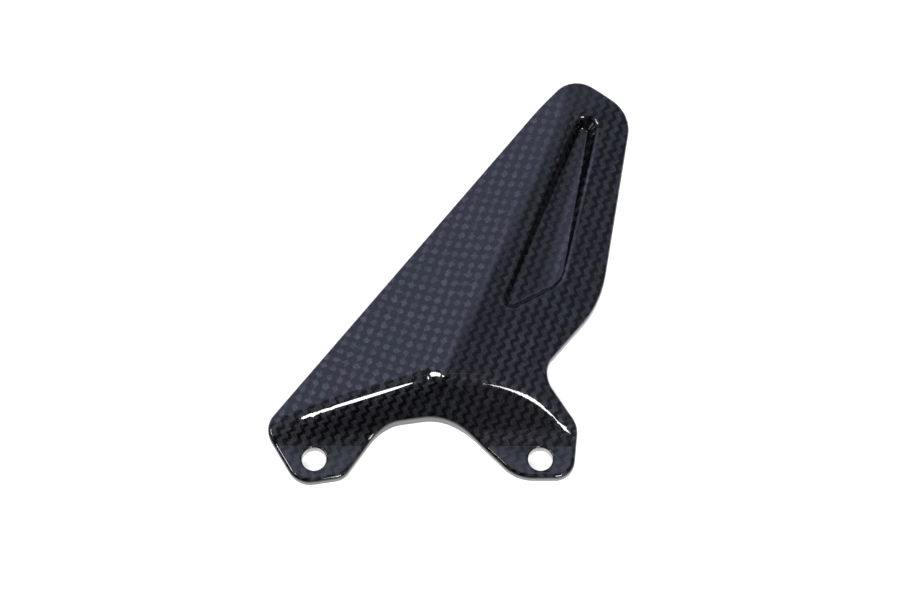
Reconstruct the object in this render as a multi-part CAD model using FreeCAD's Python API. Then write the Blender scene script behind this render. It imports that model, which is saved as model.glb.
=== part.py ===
import FreeCAD, Part
import math
import os

# Heel guard: one moulded shell of laminate with two bolt ears. Sizes in millimetres, angles in degrees.
# The origin lies midway between the two bolt holes, on the mounting face under the ears.
# X runs along the holes, Y up the guard, Z out of its front.

# Laminate and bolt holes.
wall = 3.0
hole_pitch = 60.0
hole_diameter = 6.5
hole_edge_round = 0.4

# Raised body: a ridge that runs up the guard, with a flat flank on its left and a rolled one on its right.
ridge_rise = 12.4
ridge_x = 6.9
ridge_y = 26.5
ridge_heading = 66.8
ridge_length = 88.8
flank_fall = 17.0
crease_radius = 16.0
flat_width = 4.0
roll_radius = 44.0
roll_foot_radius = 17.5
roll_foot_rise = 0.4

# Tip: the top end falls away beyond a soft fold that crosses the ridge, this far before its end.
tip_margin = 7.7
tip_heading = 23.0
tip_fall = 8.0
tip_radius = 25.0

# Step from the ears up to the raised body. Its brow is rounder left of the ridge than right of it.
step_y = 6.0
step_slope = 46.8
step_foot_radius = 6.0
brow_left_radius = 10.0
brow_right_radius = 4.4

# Sunk panel beside the ridge, measured across and along the ridge from its reference point. Its narrow top
# keeps a margin to the end of the ridge.
sunk_top_margin = 11.6
sunk_top_left = 4.4
sunk_top_width = 5.4
sunk_right = 19.9
sunk_right_along = 29.9
sunk_low_left = 6.2
sunk_low_along = 11.9
sunk_right_radius = 9.0
sunk_low_radius = 2.8
sunk_depth = 3.4
sunk_deepening = 0.9
sunk_side_tilt = 4.0
sunk_draft = 30.0
sunk_floor_radius = 1.0
sunk_rim_radius = 1.8

# Hollow floor of the sunk panel: its radius at the top and beside the right corner, and how far its deepest
# line lies from the left wall there.
hollow_top_radius = 4.5
hollow_radius = 24.0
hollow_left = 4.8

# Outline of the body seen from the front: each corner as X, Y and its rounding radius.
arch_left = (-12.5, 8.8, 12.0)
arch_right = (7.4, 10.9, 18.0)
neck = (30.0, 21.3, 6.5)
hip = (46.8, 42.6, 33.0)

# Outline of the top: each corner as X and Y from the end of the ridge, and its rounding radius.
top_right = (14.2, -11.5, 9.8)
apex = (-1.7, 0.7, 7.2)
apex_bend = (-11.7, -9.6, 60.0)

# Outline of the ears: each corner as X and Y from the centre of the ear's hole, and its rounding radius.
left_tip = (-13.8, 8.9, 6.3)
left_heel = (-4.4, -7.1, 6.5)
left_toe = (8.0, -5.1, 5.0)
right_toe = (-6.5, -5.3, 11.0)
right_heel = (8.7, -5.3, 5.4)
shoulder = (10.2, 9.3, 6.5)

# Edge roundings.
front_edge_round = 1.1
back_edge_round = 0.4

# How far the raw bodies run past the outline before it trims them.
overrun = 60.0

UP = FreeCAD.Vector(0, 0, 1)
heading = math.radians(ridge_heading)
along = FreeCAD.Vector(math.cos(heading), math.sin(heading), 0)
across = FreeCAD.Vector(math.sin(heading), -math.cos(heading), 0)
ridge_point = FreeCAD.Vector(ridge_x, ridge_y, 0)
crest = wall + ridge_rise
sunk_top = ridge_length - sunk_top_margin
sunk_top_radius = 0.48 * sunk_top_width
ridge_end = ridge_point + along * ridge_length
top = [(x + ridge_end.x, y + ridge_end.y, radius) for x, y, radius in (top_right, apex, apex_bend)]
left_ear = [(x - hole_pitch / 2, y, radius) for x, y, radius in (left_tip, left_heel, left_toe)]
right_ear = [(x + hole_pitch / 2, y, radius) for x, y, radius in (right_toe, right_heel, shoulder)]
outline = [*top, *left_ear, arch_left, arch_right, *right_ear, neck, hip]
reach = max(math.hypot(x - ridge_x, y - ridge_y) for x, y, radius in outline) + overrun


def rounded_wire(corners, spread=0.0):
    """Closed wire in the XY plane through corner points, each rounded by its own radius.

    A spread moves the sides of a bulging outline outwards."""
    points = [FreeCAD.Vector(x, y, 0) for x, y, radius in corners]
    starts, middles, ends = [], [], []
    for i, (x, y, radius) in enumerate(corners):
        before = (points[i - 1] - points[i]).normalize()
        after = (points[(i + 1) % len(points)] - points[i]).normalize()
        half = before.getAngle(after) / 2
        inward = (before + after).normalize()
        corner = points[i] - inward * (spread / math.sin(half))
        bow = radius + spread
        starts.append(corner + before * (bow / math.tan(half)))
        ends.append(corner + after * (bow / math.tan(half)))
        middles.append(corner + inward * (bow / math.sin(half) - bow))
    edges = []
    for i in range(len(points)):
        edges.append(Part.Arc(starts[i], middles[i], ends[i]).toShape())
        edges.append(Part.LineSegment(ends[i], starts[(i + 1) % len(points)]).toShape())
    return Part.Wire(edges)


def on_circle(centre, radius, angle):
    """Point of a section on a circle."""
    turn = math.radians(angle)
    return (centre[0] + radius * math.cos(turn), centre[1] + radius * math.sin(turn))


def arc_span(centre, radius, first, last):
    """Start, middle and end of an arc in a section."""
    return [on_circle(centre, radius, angle) for angle in (first, (first + last) / 2, last)]


def prism(spans, place, sweep):
    """Solid swept from a closed section; a span of two points is straight, one of three an arc."""
    edges = []
    for span in spans:
        points = [place(*point) for point in span]
        curve = Part.Arc(*points) if len(points) == 3 else Part.LineSegment(*points)
        edges.append(curve.toShape())
    return Part.Face(Part.Wire(edges)).extrude(sweep)


def facing(face, point):
    """Outward normal of a face at a point on it."""
    u, v = face.Surface.parameter(point)
    return face.normalAt(u, v)


def edge_sides(body):
    """Each edge between two faces, with its middle point and the outward normals beside it."""
    found = []
    for edge in body.Edges:
        faces = body.ancestorsOfType(edge, Part.Face)
        if len(faces) == 2:
            middle = edge.valueAt((edge.FirstParameter + edge.LastParameter) / 2)
            found.append((edge, middle, facing(faces[0], middle), facing(faces[1], middle)))
    return found


def folds(body, up=1):
    """Sharp edges between two faces that both look upwards (up 1) or downwards (up -1)."""
    return [edge for edge, middle, one, other in edge_sides(body)
            if min(one.z * up, other.z * up) > 0.1 and one.getAngle(other) > math.radians(2)]


def raised_body(inset, size):
    """Body under the ridge, flanks and tip, its skin set in by the given amount."""
    fall = math.radians(flank_fall)
    bend = crease_radius * math.tan(fall / 2)
    crease = arc_span((bend, crest - crease_radius), crease_radius - inset, 90 + flank_fall, 90)
    roll_centre = (bend + flat_width, crest - roll_radius)
    turn = math.degrees(math.acos(1 - (ridge_rise - roll_foot_rise) / (roll_radius + roll_foot_radius)))
    roll = arc_span(roll_centre, roll_radius - inset, 90, 90 - turn)
    foot_centre = on_circle(roll_centre, roll_radius + roll_foot_radius, 90 - turn)
    foot = arc_span(foot_centre, roll_foot_radius + inset, 270 - turn, 270)
    far_left = (-size, crease[0][1] - (size + crease[0][0]) * math.tan(fall))
    far_right = (size, foot[2][1])
    low_left = (-size, far_left[1] - size)
    low_right = (size, low_left[1])
    spans = [[far_left, crease[0]], crease, [crease[2], roll[0]], roll, foot, [foot[2], far_right],
             [far_right, low_right], [low_right, low_left], [low_left, far_left]]
    start = ridge_point - along * size
    body = prism(spans, lambda a, z: start + across * a + UP * z, along * 2 * size)
    lean = FreeCAD.Rotation(UP, tip_heading).multiply(FreeCAD.Rotation(FreeCAD.Vector(1, 0, 0), -tip_fall))
    under_tip = Part.makeBox(4 * size, 4 * size, 4 * size)
    top_middle = FreeCAD.Vector(2 * size, 2 * size, 4 * size + inset)
    fold_point = ridge_end - along * tip_margin + across * (bend + flat_width / 2) + UP * crest
    under_tip.Placement = FreeCAD.Placement(fold_point - lean.multVec(top_middle), lean)
    body = body.common(under_tip)
    return body.makeFillet(tip_radius - inset, folds(body))


def stepped_body(inset, size):
    """Body under the ears and the sloping step, open upwards behind the step."""
    slope = math.radians(step_slope)
    bend = step_foot_radius * math.tan(slope / 2)
    foot_centre = (step_y - bend, wall + step_foot_radius)
    foot = arc_span(foot_centre, step_foot_radius + inset, 270, 270 + step_slope)
    step_top = (foot[2][0] + (size - foot[2][1]) / math.tan(slope), size)
    near = (-size, foot[0][1])
    back = (step_top[0] + size, size)
    low_near = (-size, -2 * size)
    low_back = (back[0], -2 * size)
    spans = [[near, foot[0]], foot, [foot[2], step_top], [step_top, back],
             [back, low_back], [low_back, low_near], [low_near, near]]
    start = FreeCAD.Vector(-size, 0, 0)
    return prism(spans, lambda y, z: start + FreeCAD.Vector(0, y, z), FreeCAD.Vector(2 * size, 0, 0))


def hollow_cone(inset):
    """Cone over the sunk panel whose lowest line is the trough of its hollow floor, set outwards."""
    climb = (sunk_right_along - sunk_low_along) / (sunk_top - sunk_low_along)
    left = sunk_low_left + (sunk_top_left - sunk_low_left) * climb
    top = FreeCAD.Vector(sunk_top_left + sunk_top_width / 2, sunk_top, -sunk_depth)
    low = FreeCAD.Vector(left + hollow_left, sunk_right_along, -sunk_depth)
    spread = math.asin((hollow_radius - hollow_top_radius) / top.distanceToPoint(low))
    near = hollow_top_radius / 2
    far = 2 * hollow_radius
    trough = (low - top).normalize()
    axis = trough * math.cos(spread) + UP * math.sin(spread)
    start = top - trough * ((hollow_top_radius - near) / math.sin(spread)) + UP * (near / math.cos(spread))
    skin = inset / math.cos(spread)
    return Part.makeCone(near + skin, far + skin, (far - near) / math.tan(spread), start, axis)


def sunk_body(inset):
    """Tapered body that sinks the panel, its walls and floor set outwards by the given amount."""
    corners = [(sunk_top_left, sunk_top, sunk_top_radius),
               (sunk_low_left, sunk_low_along, sunk_low_radius),
               (sunk_right, sunk_right_along, sunk_right_radius),
               (sunk_top_left + sunk_top_width, sunk_top, sunk_top_radius)]
    draft = math.radians(sunk_draft)
    under_floor = -sunk_depth - inset - sunk_floor_radius / 4
    wires = []
    for level in (under_floor, sunk_rim_radius):
        wire = rounded_wire(corners, inset / math.cos(draft) + level * math.tan(draft))
        wire.translate(UP * level)
        wires.append(wire)
    body = Part.makeLoft(wires, True, True).common(hollow_cone(inset))
    body = body.makeFillet(sunk_floor_radius + inset, folds(body, -1))
    side = math.radians(sunk_side_tilt)
    sink = math.atan2(sunk_deepening, sunk_top - sunk_low_along)
    lean = FreeCAD.Rotation(across * math.cos(side) - UP * math.sin(side),
                            along * math.cos(sink) - UP * math.sin(sink), UP, "XYZ")
    pivot = FreeCAD.Vector(sunk_low_left, sunk_low_along, 0)
    home = ridge_point + across * pivot.x + along * pivot.y + UP * crest
    body.Placement = FreeCAD.Placement(home - lean.multVec(pivot), lean)
    return body


def rounded_brow(body, inset):
    """Body with the brow of its step rounded; the radius changes where the brow crosses the ridge."""
    crossing = min(folds(body), key=lambda edge: abs((edge.CenterOfMass - ridge_point).dot(across)))
    return body.makeFillet(brow_right_radius - inset, brow_left_radius - inset, [crossing])


def skin_body(inset, size):
    """Whole form under one skin of the shell: raised body, step, rounded brow and sunk panel."""
    body = rounded_brow(raised_body(inset, size).common(stepped_body(inset, size)), inset)
    body = body.cut(sunk_body(inset))
    if sunk_rim_radius > inset:
        body = body.makeFillet(sunk_rim_radius - inset, folds(body))
    return body


def in_hole(middle):
    """True for a point on the wall of a bolt hole."""
    return abs(math.hypot(abs(middle.x) - hole_pitch / 2, middle.y) - hole_diameter / 2) < 0.01


def sheet_edges(body, up, of_holes=False):
    """Edges where the upright walls of the outline, or of the holes, meet front (up 1) or back (up -1)."""
    found = []
    for edge, middle, one, other in edge_sides(body):
        upright, skin = sorted((one, other), key=lambda normal: abs(normal.z))
        if abs(upright.z) < 1e-4 and skin.z * up > 0.3 and in_hole(middle) == of_holes:
            found.append(edge)
    return found


# The laminate lies between the front skin and a back skin set in by its thickness.
shell = skin_body(0, reach).cut(skin_body(wall, 1.2 * reach))
blank = Part.Face(rounded_wire(outline)).extrude(UP * 2 * reach)
blank.translate(UP * -reach)
guard = shell.common(blank)
for side in (-1, 1):
    start = FreeCAD.Vector(side * hole_pitch / 2, 0, -reach)
    guard = guard.cut(Part.makeCylinder(hole_diameter / 2, 2 * reach, start, UP))

# Edges: the outline is rounded well in front and lightly behind, the hole mouths lightly in front.
guard = guard.makeFillet(front_edge_round, sheet_edges(guard, 1))
guard = guard.makeFillet(back_edge_round, sheet_edges(guard, -1))
guard = guard.makeFillet(hole_edge_round, sheet_edges(guard, 1, of_holes=True))

os.makedirs("parts", exist_ok=True)
guard.exportStep("parts/heel_guard.step")
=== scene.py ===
import bpy
import math
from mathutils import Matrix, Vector
from types import SimpleNamespace

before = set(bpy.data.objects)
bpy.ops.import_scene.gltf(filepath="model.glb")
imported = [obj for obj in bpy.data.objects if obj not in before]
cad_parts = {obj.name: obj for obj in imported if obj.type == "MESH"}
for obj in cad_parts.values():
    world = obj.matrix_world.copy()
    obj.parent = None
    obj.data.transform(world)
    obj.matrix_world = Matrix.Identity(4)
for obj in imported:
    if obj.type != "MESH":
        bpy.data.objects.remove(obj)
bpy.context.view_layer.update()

# Weave of the laminate, in metres and degrees.
TOW = 0.002
TOW_HEADING = 26.0
TOW_WANDER = 0.0005
WEAVE_RELIEF = 0.00022
PLY_PITCH = 0.0005

# Step that the cloth is draped over: where it starts in Y, the tangent of its slope, and the extra cloth for
# each metre of rise. It rises to the ridge, and the rise falls off to both sides from SIDE_RISE at X 0.
STEP_Y = 0.006
STEP_TANGENT = 1.065
STEP_EXTRA = 0.433
STEP_RISE = 0.0124
SIDE_RISE = 0.0135
SIDE_FALL_LEFT = 0.31
SIDE_FALL_RIGHT = 0.24

# Colours of the fibres: two tints that mix on the left flank, painted there as the tint of its sheen in the
# light, and a plain one for the rest.
VIOLET_FIBRE_SHEEN = (0.037, 0.032, 0.042, 1)
GREEN_FIBRE_SHEEN = (0.031, 0.037, 0.038, 1)
PLAIN_FIBRE = (0.033, 0.033, 0.035, 1)

# Table: two greys of its grain, and the glow that makes it white in the picture and in reflections.
TABLE_RADIUS = 6.0
TABLE_DARK = (0.80, 0.80, 0.80, 1)
TABLE_LIGHT = (0.82, 0.82, 0.82, 1)
TABLE_GLOW = 0.66

# Light of the room, by direction.
ROOM_LOW = (0.03, 0.031, 0.04, 1)
ROOM_FRONT_LEFT = (0.06, 0.063, 0.09, 1)
ROOM_FRONT_RIGHT = (0.34, 0.35, 0.45, 1)
ROOM_MIDDLE = (0.29, 0.31, 0.42, 1)
ROOM_BACK = (0.54, 0.57, 0.76, 1)
ROOM_BACK_LEFT = (0.91, 0.94, 1.40, 1)

# The soft boxes stand one metre from this point, near the lower end of the ridge.
LAMP_TARGET = Vector((0.01, 0.03, 0.008))

# Small cool panel above the guard. It is made of layers that end one after the other on the far side.
PANEL_X = -0.003
PANEL_Z = 0.35
PANEL_LAYER_GAP = 0.0005
PANEL_WIDTH = 0.14
PANEL_NEAR_EDGE = 0.105
PANEL_FAR_EDGES = (0.1220, 0.1240, 0.1260, 0.1280)
PANEL_RADIANCE = 0.24
PANEL_COLOUR = (0.70, 0.74, 1.0)

# Camera at the photograph's viewing angle.
CAMERA_LOCATION = (0.00604, -0.23481, 0.66378)
CAMERA_TILT = 23.0
CAMERA_LENS = 105.7
CAMERA_SENSOR = 36.0


class Nodes:
    """Short hand for building one node tree."""

    def __init__(self, tree):
        self.tree = tree
        tree.nodes.clear()

    def add(self, kind, **settings):
        node = self.tree.nodes.new(kind)
        for key, value in settings.items():
            setattr(node, key, value)
        return node

    def join(self, source, target):
        self.tree.links.new(source, target)

    def feed(self, socket, value):
        if isinstance(value, bpy.types.NodeSocket):
            self.join(value, socket)
        else:
            socket.default_value = value

    def math(self, operation, a, b=None, c=None):
        node = self.add("ShaderNodeMath", operation=operation)
        for socket, value in zip(node.inputs, (a, b, c)):
            if value is not None:
                self.feed(socket, value)
        return node.outputs[0]

    def smooth(self, value, low, high, to_low=0.0, to_high=1.0):
        node = self.add("ShaderNodeMapRange", interpolation_type="SMOOTHSTEP")
        for socket, given in zip(node.inputs, (value, low, high, to_low, to_high)):
            self.feed(socket, given)
        return node.outputs[0]

    def mix(self, factor, a, b):
        node = self.add("ShaderNodeMix", data_type="RGBA")
        self.feed(node.inputs["Factor"], factor)
        self.feed(node.inputs[6], a)
        self.feed(node.inputs[7], b)
        return node.outputs[2]

    def blend(self, factor, a, b):
        node = self.add("ShaderNodeMix", data_type="FLOAT")
        self.feed(node.inputs["Factor"], factor)
        self.feed(node.inputs[2], a)
        self.feed(node.inputs[3], b)
        return node.outputs[0]

    def split(self, vector):
        node = self.add("ShaderNodeSeparateXYZ")
        self.join(vector, node.inputs[0])
        return node.outputs

    def combine(self, x, y, z=0.0):
        node = self.add("ShaderNodeCombineXYZ")
        for socket, value in zip(node.inputs, (x, y, z)):
            self.feed(socket, value)
        return node.outputs[0]

    def noise(self, place, scale, detail=2.0):
        node = self.add("ShaderNodeTexNoise")
        self.join(place, node.inputs["Vector"])
        node.inputs["Scale"].default_value = scale
        node.inputs["Detail"].default_value = detail
        return node.outputs


def draped(n, x, y):
    """Y along the cloth: the sloping step takes up extra length, as much as it is high at that X."""
    left = n.math("MULTIPLY_ADD", x, SIDE_FALL_LEFT, SIDE_RISE)
    right = n.math("MULTIPLY_ADD", x, -SIDE_FALL_RIGHT, SIDE_RISE)
    rise = n.math("MINIMUM", n.math("MINIMUM", left, right), STEP_RISE)
    rise = n.math("MAXIMUM", rise, 0.0)
    past = n.math("MAXIMUM", n.math("SUBTRACT", y, STEP_Y), 0.0)
    climbed = n.math("MINIMUM", n.math("MULTIPLY", past, STEP_TANGENT), rise)
    return n.math("MULTIPLY_ADD", climbed, STEP_EXTRA, y)


def plain_weave(n, place):
    """Cells of the weave with the float in each: its fibres, its height, and the phases of the pattern."""
    x, y = n.split(place)[:2]
    wander = n.split(n.noise(place, 60.0, 1.0)["Color"])
    u = n.math("MULTIPLY_ADD", n.math("SUBTRACT", wander[0], 0.5), TOW_WANDER, x)
    v = n.math("MULTIPLY_ADD", n.math("SUBTRACT", wander[1], 0.5), TOW_WANDER, draped(n, x, y))

    # Position counted in tows, along the warp (a) and the weft (b).
    turn = math.radians(TOW_HEADING)
    cos = math.cos(turn) / TOW
    sin = math.sin(turn) / TOW
    a = n.math("ADD", n.math("MULTIPLY", u, cos), n.math("MULTIPLY", v, sin))
    b = n.math("SUBTRACT", n.math("MULTIPLY", v, cos), n.math("MULTIPLY", u, sin))
    cell_a = n.math("FLOOR", a)
    cell_b = n.math("FLOOR", b)
    in_a = n.math("SUBTRACT", n.math("SUBTRACT", a, cell_a), 0.5)
    in_b = n.math("SUBTRACT", n.math("SUBTRACT", b, cell_b), 0.5)
    weft = n.math("FLOORED_MODULO", n.math("ADD", cell_a, cell_b), 2.0)

    # Each float is a pillow: it bows along its fibres and is round across them.
    length = n.blend(weft, in_a, in_b)
    width = n.blend(weft, in_b, in_a)
    bow = n.math("COSINE", n.math("MULTIPLY", length, math.pi))
    flank = n.math("MULTIPLY", width, 1.92)
    fall = n.math("SUBTRACT", 1.0, n.math("MULTIPLY", flank, flank))
    pillow = n.math("MULTIPLY", bow, n.math("SQRT", n.math("MAXIMUM", fall, 0.0)))

    # Fibres: fine lines along each tow, other ones in each cell.
    seed = n.math("ADD", n.math("MULTIPLY", cell_a, 7.3), n.math("MULTIPLY", cell_b, 3.7))
    lines = n.combine(n.math("MULTIPLY", width, 14.0), n.math("MULTIPLY", length, 1.2), seed)
    return SimpleNamespace(
        fibre=n.noise(lines, 1.0)["Fac"],
        pillow=pillow,
        cell=n.combine(cell_a, cell_b),
        side_phase=n.math("MULTIPLY", n.math("ADD", a, b), math.pi),
        up_phase=n.math("MULTIPLY", n.math("SUBTRACT", a, b), math.pi),
    )


def fibre_tone(n, place, weave, normal, turned):
    """Brightness of the fibres over the weave, with painted highlight, sheen and shade where the surface
    faces towards or away from its light.
    """
    # On the left flank, which faces the light, the floats across the guard are painted as ragged light
    # patches: a painted highlight on the weave.
    # Elsewhere both kinds look alike, and the dips between them are painted as dark zigzags up the guard:
    # painted shade on the weave pattern.
    rough = n.noise(place, 1100.0)["Fac"]
    zigzag = n.math("MULTIPLY_ADD", n.math("SINE", weave.side_phase), turned, weave.up_phase)
    sideways = n.math("MULTIPLY", n.math("COSINE", weave.side_phase), n.blend(turned, 0.48, 0.12))
    upwards = n.math("MULTIPLY", n.math("COSINE", zigzag), n.blend(turned, 0.52, 0.88))
    check = n.math("SUBTRACT", sideways, upwards)
    check = n.math("MULTIPLY_ADD", n.math("SUBTRACT", rough, 0.5), 1.9, check)
    patches = n.smooth(check, -0.02, 0.55, 0.04, 1.2)
    zigzags = n.smooth(check, -0.70, 0.40, 0.0, 0.68)
    tone = n.blend(turned, patches, zigzags)

    # Painted sheen: the rolled side to the right of the ridge, which faces right, is painted lighter.
    tone = n.math("MULTIPLY", tone, n.smooth(normal[0], 0.0, 0.14, 1.0, 1.7))

    # One float is not as bright as the next, its fibres show in lighter and darker streaks, and painted
    # glints add specks.
    each = n.add("ShaderNodeTexWhiteNoise", noise_dimensions="2D")
    n.join(weave.cell, each.inputs["Vector"])
    tone = n.math("MULTIPLY", tone, n.math("MULTIPLY_ADD", each.outputs["Value"], 0.5, 0.75))
    tone = n.math("MULTIPLY", tone, n.smooth(weave.fibre, 0.35, 0.68, 0.55, 1.5))
    painted_glint = n.noise(place, 2600.0, 0.0)["Fac"]
    tone = n.math("ADD", tone, n.smooth(painted_glint, 0.64, 0.78, 0.0, 0.7))

    # Painted shade: where the surface faces down the step, the fibres are painted darker.
    return n.math("MULTIPLY", tone, n.smooth(normal[1], -0.62, -0.30, 0.45, 1.0))


def carbon_material():
    """Plain-weave carbon under a smooth clear coat."""
    material = bpy.data.materials.new("carbon")
    material.use_nodes = True
    n = Nodes(material.node_tree)
    place = n.add("ShaderNodeTexCoord").outputs["Object"]
    normal = n.split(n.add("ShaderNodeNewGeometry").outputs["Normal"])
    weave = plain_weave(n, place)

    # 0 on the left flank, 1 where the surface is turned away from its light.
    turned = n.math("MAXIMUM", n.smooth(normal[0], -0.24, -0.08), n.smooth(normal[1], -0.08, 0.08, 1.0, 0.0))
    tone = fibre_tone(n, place, weave, normal, turned)

    # Cut edges and hole walls show resin and plies instead of the weave.
    face = n.smooth(n.math("ABSOLUTE", normal[2]), 0.2, 0.5)
    ply = n.math("SINE", n.math("MULTIPLY", n.split(place)[2], 2 * math.pi / PLY_PITCH))
    tone = n.blend(face, n.math("MULTIPLY_ADD", ply, 0.12, 0.35), tone)

    # Painted sheen tint: violet and green mix at random on the left flank, which faces the light; where the
    # surface turns away, the plain colour takes over.
    tint = n.smooth(n.noise(place, 90.0)["Fac"], 0.40, 0.60)
    colour = n.mix(tint, VIOLET_FIBRE_SHEEN, GREEN_FIBRE_SHEEN)
    colour = n.mix(n.math("MULTIPLY", turned, 0.8), colour, PLAIN_FIBRE)
    bright = n.add("ShaderNodeVectorMath", operation="SCALE")
    n.join(colour, bright.inputs[0])
    n.join(tone, bright.inputs["Scale"])

    bump = n.add("ShaderNodeBump")
    bump.inputs["Strength"].default_value = 0.25
    bump.inputs["Distance"].default_value = WEAVE_RELIEF
    n.join(n.math("MULTIPLY", weave.pillow, face), bump.inputs["Height"])

    shader = n.add("ShaderNodeBsdfPrincipled")
    n.join(bright.outputs[0], shader.inputs["Base Color"])
    n.join(n.math("MULTIPLY_ADD", weave.fibre, 0.12, 0.50), shader.inputs["Roughness"])
    n.join(bump.outputs[0], shader.inputs["Normal"])
    shader.inputs["Metallic"].default_value = 1.0
    shader.inputs["Coat Weight"].default_value = 1.0
    shader.inputs["Coat Roughness"].default_value = 0.02
    shader.inputs["Coat IOR"].default_value = 1.5
    out = n.add("ShaderNodeOutputMaterial")
    n.join(shader.outputs[0], out.inputs["Surface"])
    return material


def table_material():
    """White table: a lit surface that also glows in the picture and in reflections."""
    material = bpy.data.materials.new("table_white")
    material.use_nodes = True
    n = Nodes(material.node_tree)
    path = n.add("ShaderNodeLightPath").outputs
    seen = n.math("MAXIMUM", path["Is Camera Ray"], path["Is Glossy Ray"])
    seen = n.math("MAXIMUM", seen, path["Is Transmission Ray"])
    grain = n.noise(n.add("ShaderNodeTexCoord").outputs["Object"], 8.0)["Fac"]
    lit = n.add("ShaderNodeBsdfDiffuse")
    n.join(n.mix(grain, TABLE_DARK, TABLE_LIGHT), lit.inputs["Color"])
    glow = n.add("ShaderNodeEmission")
    n.join(n.math("MULTIPLY", seen, TABLE_GLOW), glow.inputs["Strength"])
    both = n.add("ShaderNodeAddShader")
    n.join(lit.outputs[0], both.inputs[0])
    n.join(glow.outputs[0], both.inputs[1])
    out = n.add("ShaderNodeOutputMaterial")
    n.join(both.outputs[0], out.inputs["Surface"])
    return material


def room_world():
    """Cool room: dim near the floor and in front on the left, bright behind, brightest behind on the left."""
    world = bpy.data.worlds.new("studio")
    world.use_nodes = True
    n = Nodes(world.node_tree)
    x, y, z = n.split(n.add("ShaderNodeTexCoord").outputs["Generated"])
    front = n.mix(n.smooth(x, -0.06, 0.06), ROOM_FRONT_LEFT, ROOM_FRONT_RIGHT)
    middle = n.mix(n.smooth(y, -0.5, 0.3), front, ROOM_MIDDLE)
    room = n.mix(n.smooth(y, 0.37, 0.50), middle, ROOM_BACK)
    leftward = n.smooth(x, -0.27, -0.03, 1.0, 0.0)
    backward = n.smooth(y, 0.37, 0.51)
    lit = n.mix(n.math("MULTIPLY", leftward, backward), room, ROOM_BACK_LEFT)
    backdrop = n.add("ShaderNodeBackground")
    n.join(n.mix(n.smooth(z, 0.12, 0.50), ROOM_LOW, lit), backdrop.inputs["Color"])
    out = n.add("ShaderNodeOutputWorld")
    n.join(backdrop.outputs[0], out.inputs["Surface"])
    return world


def area_light(name, elevation, azimuth, size, radiance, shape="RECTANGLE"):
    """Soft box one metre from the guard, facing it. Azimuth 0 stands in front of it, positive to the right.

    The radiance is that of a rectangle; an ellipse of the same size and power is 4/pi times as bright."""
    data = bpy.data.lights.new(name, "AREA")
    data.shape = shape
    data.size = size[0]
    data.size_y = size[1]
    data.energy = radiance * math.pi * size[0] * size[1]
    lamp = bpy.data.objects.new(name, data)
    bpy.context.scene.collection.objects.link(lamp)
    e = math.radians(elevation)
    a = math.radians(azimuth)
    away = Vector((math.cos(e) * math.sin(a), -math.cos(e) * math.cos(a), math.sin(e)))
    lamp.location = LAMP_TARGET + away
    lamp.rotation_euler = away.to_track_quat("Z", "Y").to_euler()
    lamp.visible_camera = False
    return lamp


# The guard keeps its CAD mesh; welded and weighted normals make its gloss run smoothly over the roundings.
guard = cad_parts["heel_guard"]
guard.data.materials.clear()
guard.data.materials.append(carbon_material())
for polygon in guard.data.polygons:
    polygon.material_index = 0
    polygon.use_smooth = True
weld = guard.modifiers.new("weld", "WELD")
weld.merge_threshold = 1e-6
even = guard.modifiers.new("even_normals", "WEIGHTED_NORMAL")
even.mode = "FACE_AREA"
even.weight = 50

# White table under the guard.
bpy.ops.mesh.primitive_circle_add(vertices=96, radius=TABLE_RADIUS, fill_type="TRIFAN", location=(0, 0, 0))
table = bpy.context.object
table.name = "table"
table.data.materials.append(table_material())

bpy.context.scene.world = room_world()

# Soft boxes. Their reflections draw the streaks on the right and left brow, and the patch between them.
area_light("key", 36, 19.5, (0.35, 0.25), 28.0)
area_light("top", 64.6, -79, (0.15, 0.064), 28.0, "ELLIPSE")
area_light("side", 54, -95, (0.26, 0.15), 26.0)

# The flat ears mirror the panel. Its layers lie a little apart, because lamps in one plane hide each other.
for layer, far_edge in enumerate(PANEL_FAR_EDGES):
    panel_size = (PANEL_WIDTH, far_edge - PANEL_NEAR_EDGE)
    panel = area_light("panel_" + str(layer), 90, 0, panel_size, PANEL_RADIANCE)
    panel.location = (PANEL_X, (far_edge + PANEL_NEAR_EDGE) / 2, PANEL_Z + PANEL_LAYER_GAP * layer)
    panel.rotation_euler = (0, 0, 0)
    panel.data.color = PANEL_COLOUR

camera_data = bpy.data.cameras.new("camera")
camera_data.sensor_width = CAMERA_SENSOR
camera_data.lens = CAMERA_LENS
camera_data.clip_start = 0.01
camera_data.clip_end = 50.0
camera = bpy.data.objects.new("camera", camera_data)
bpy.context.scene.collection.objects.link(camera)
camera.location = CAMERA_LOCATION
camera.rotation_euler = (math.radians(CAMERA_TILT), 0.0, 0.0)
bpy.context.scene.camera = camera
bpy.context.scene.view_settings.view_transform = "Standard"
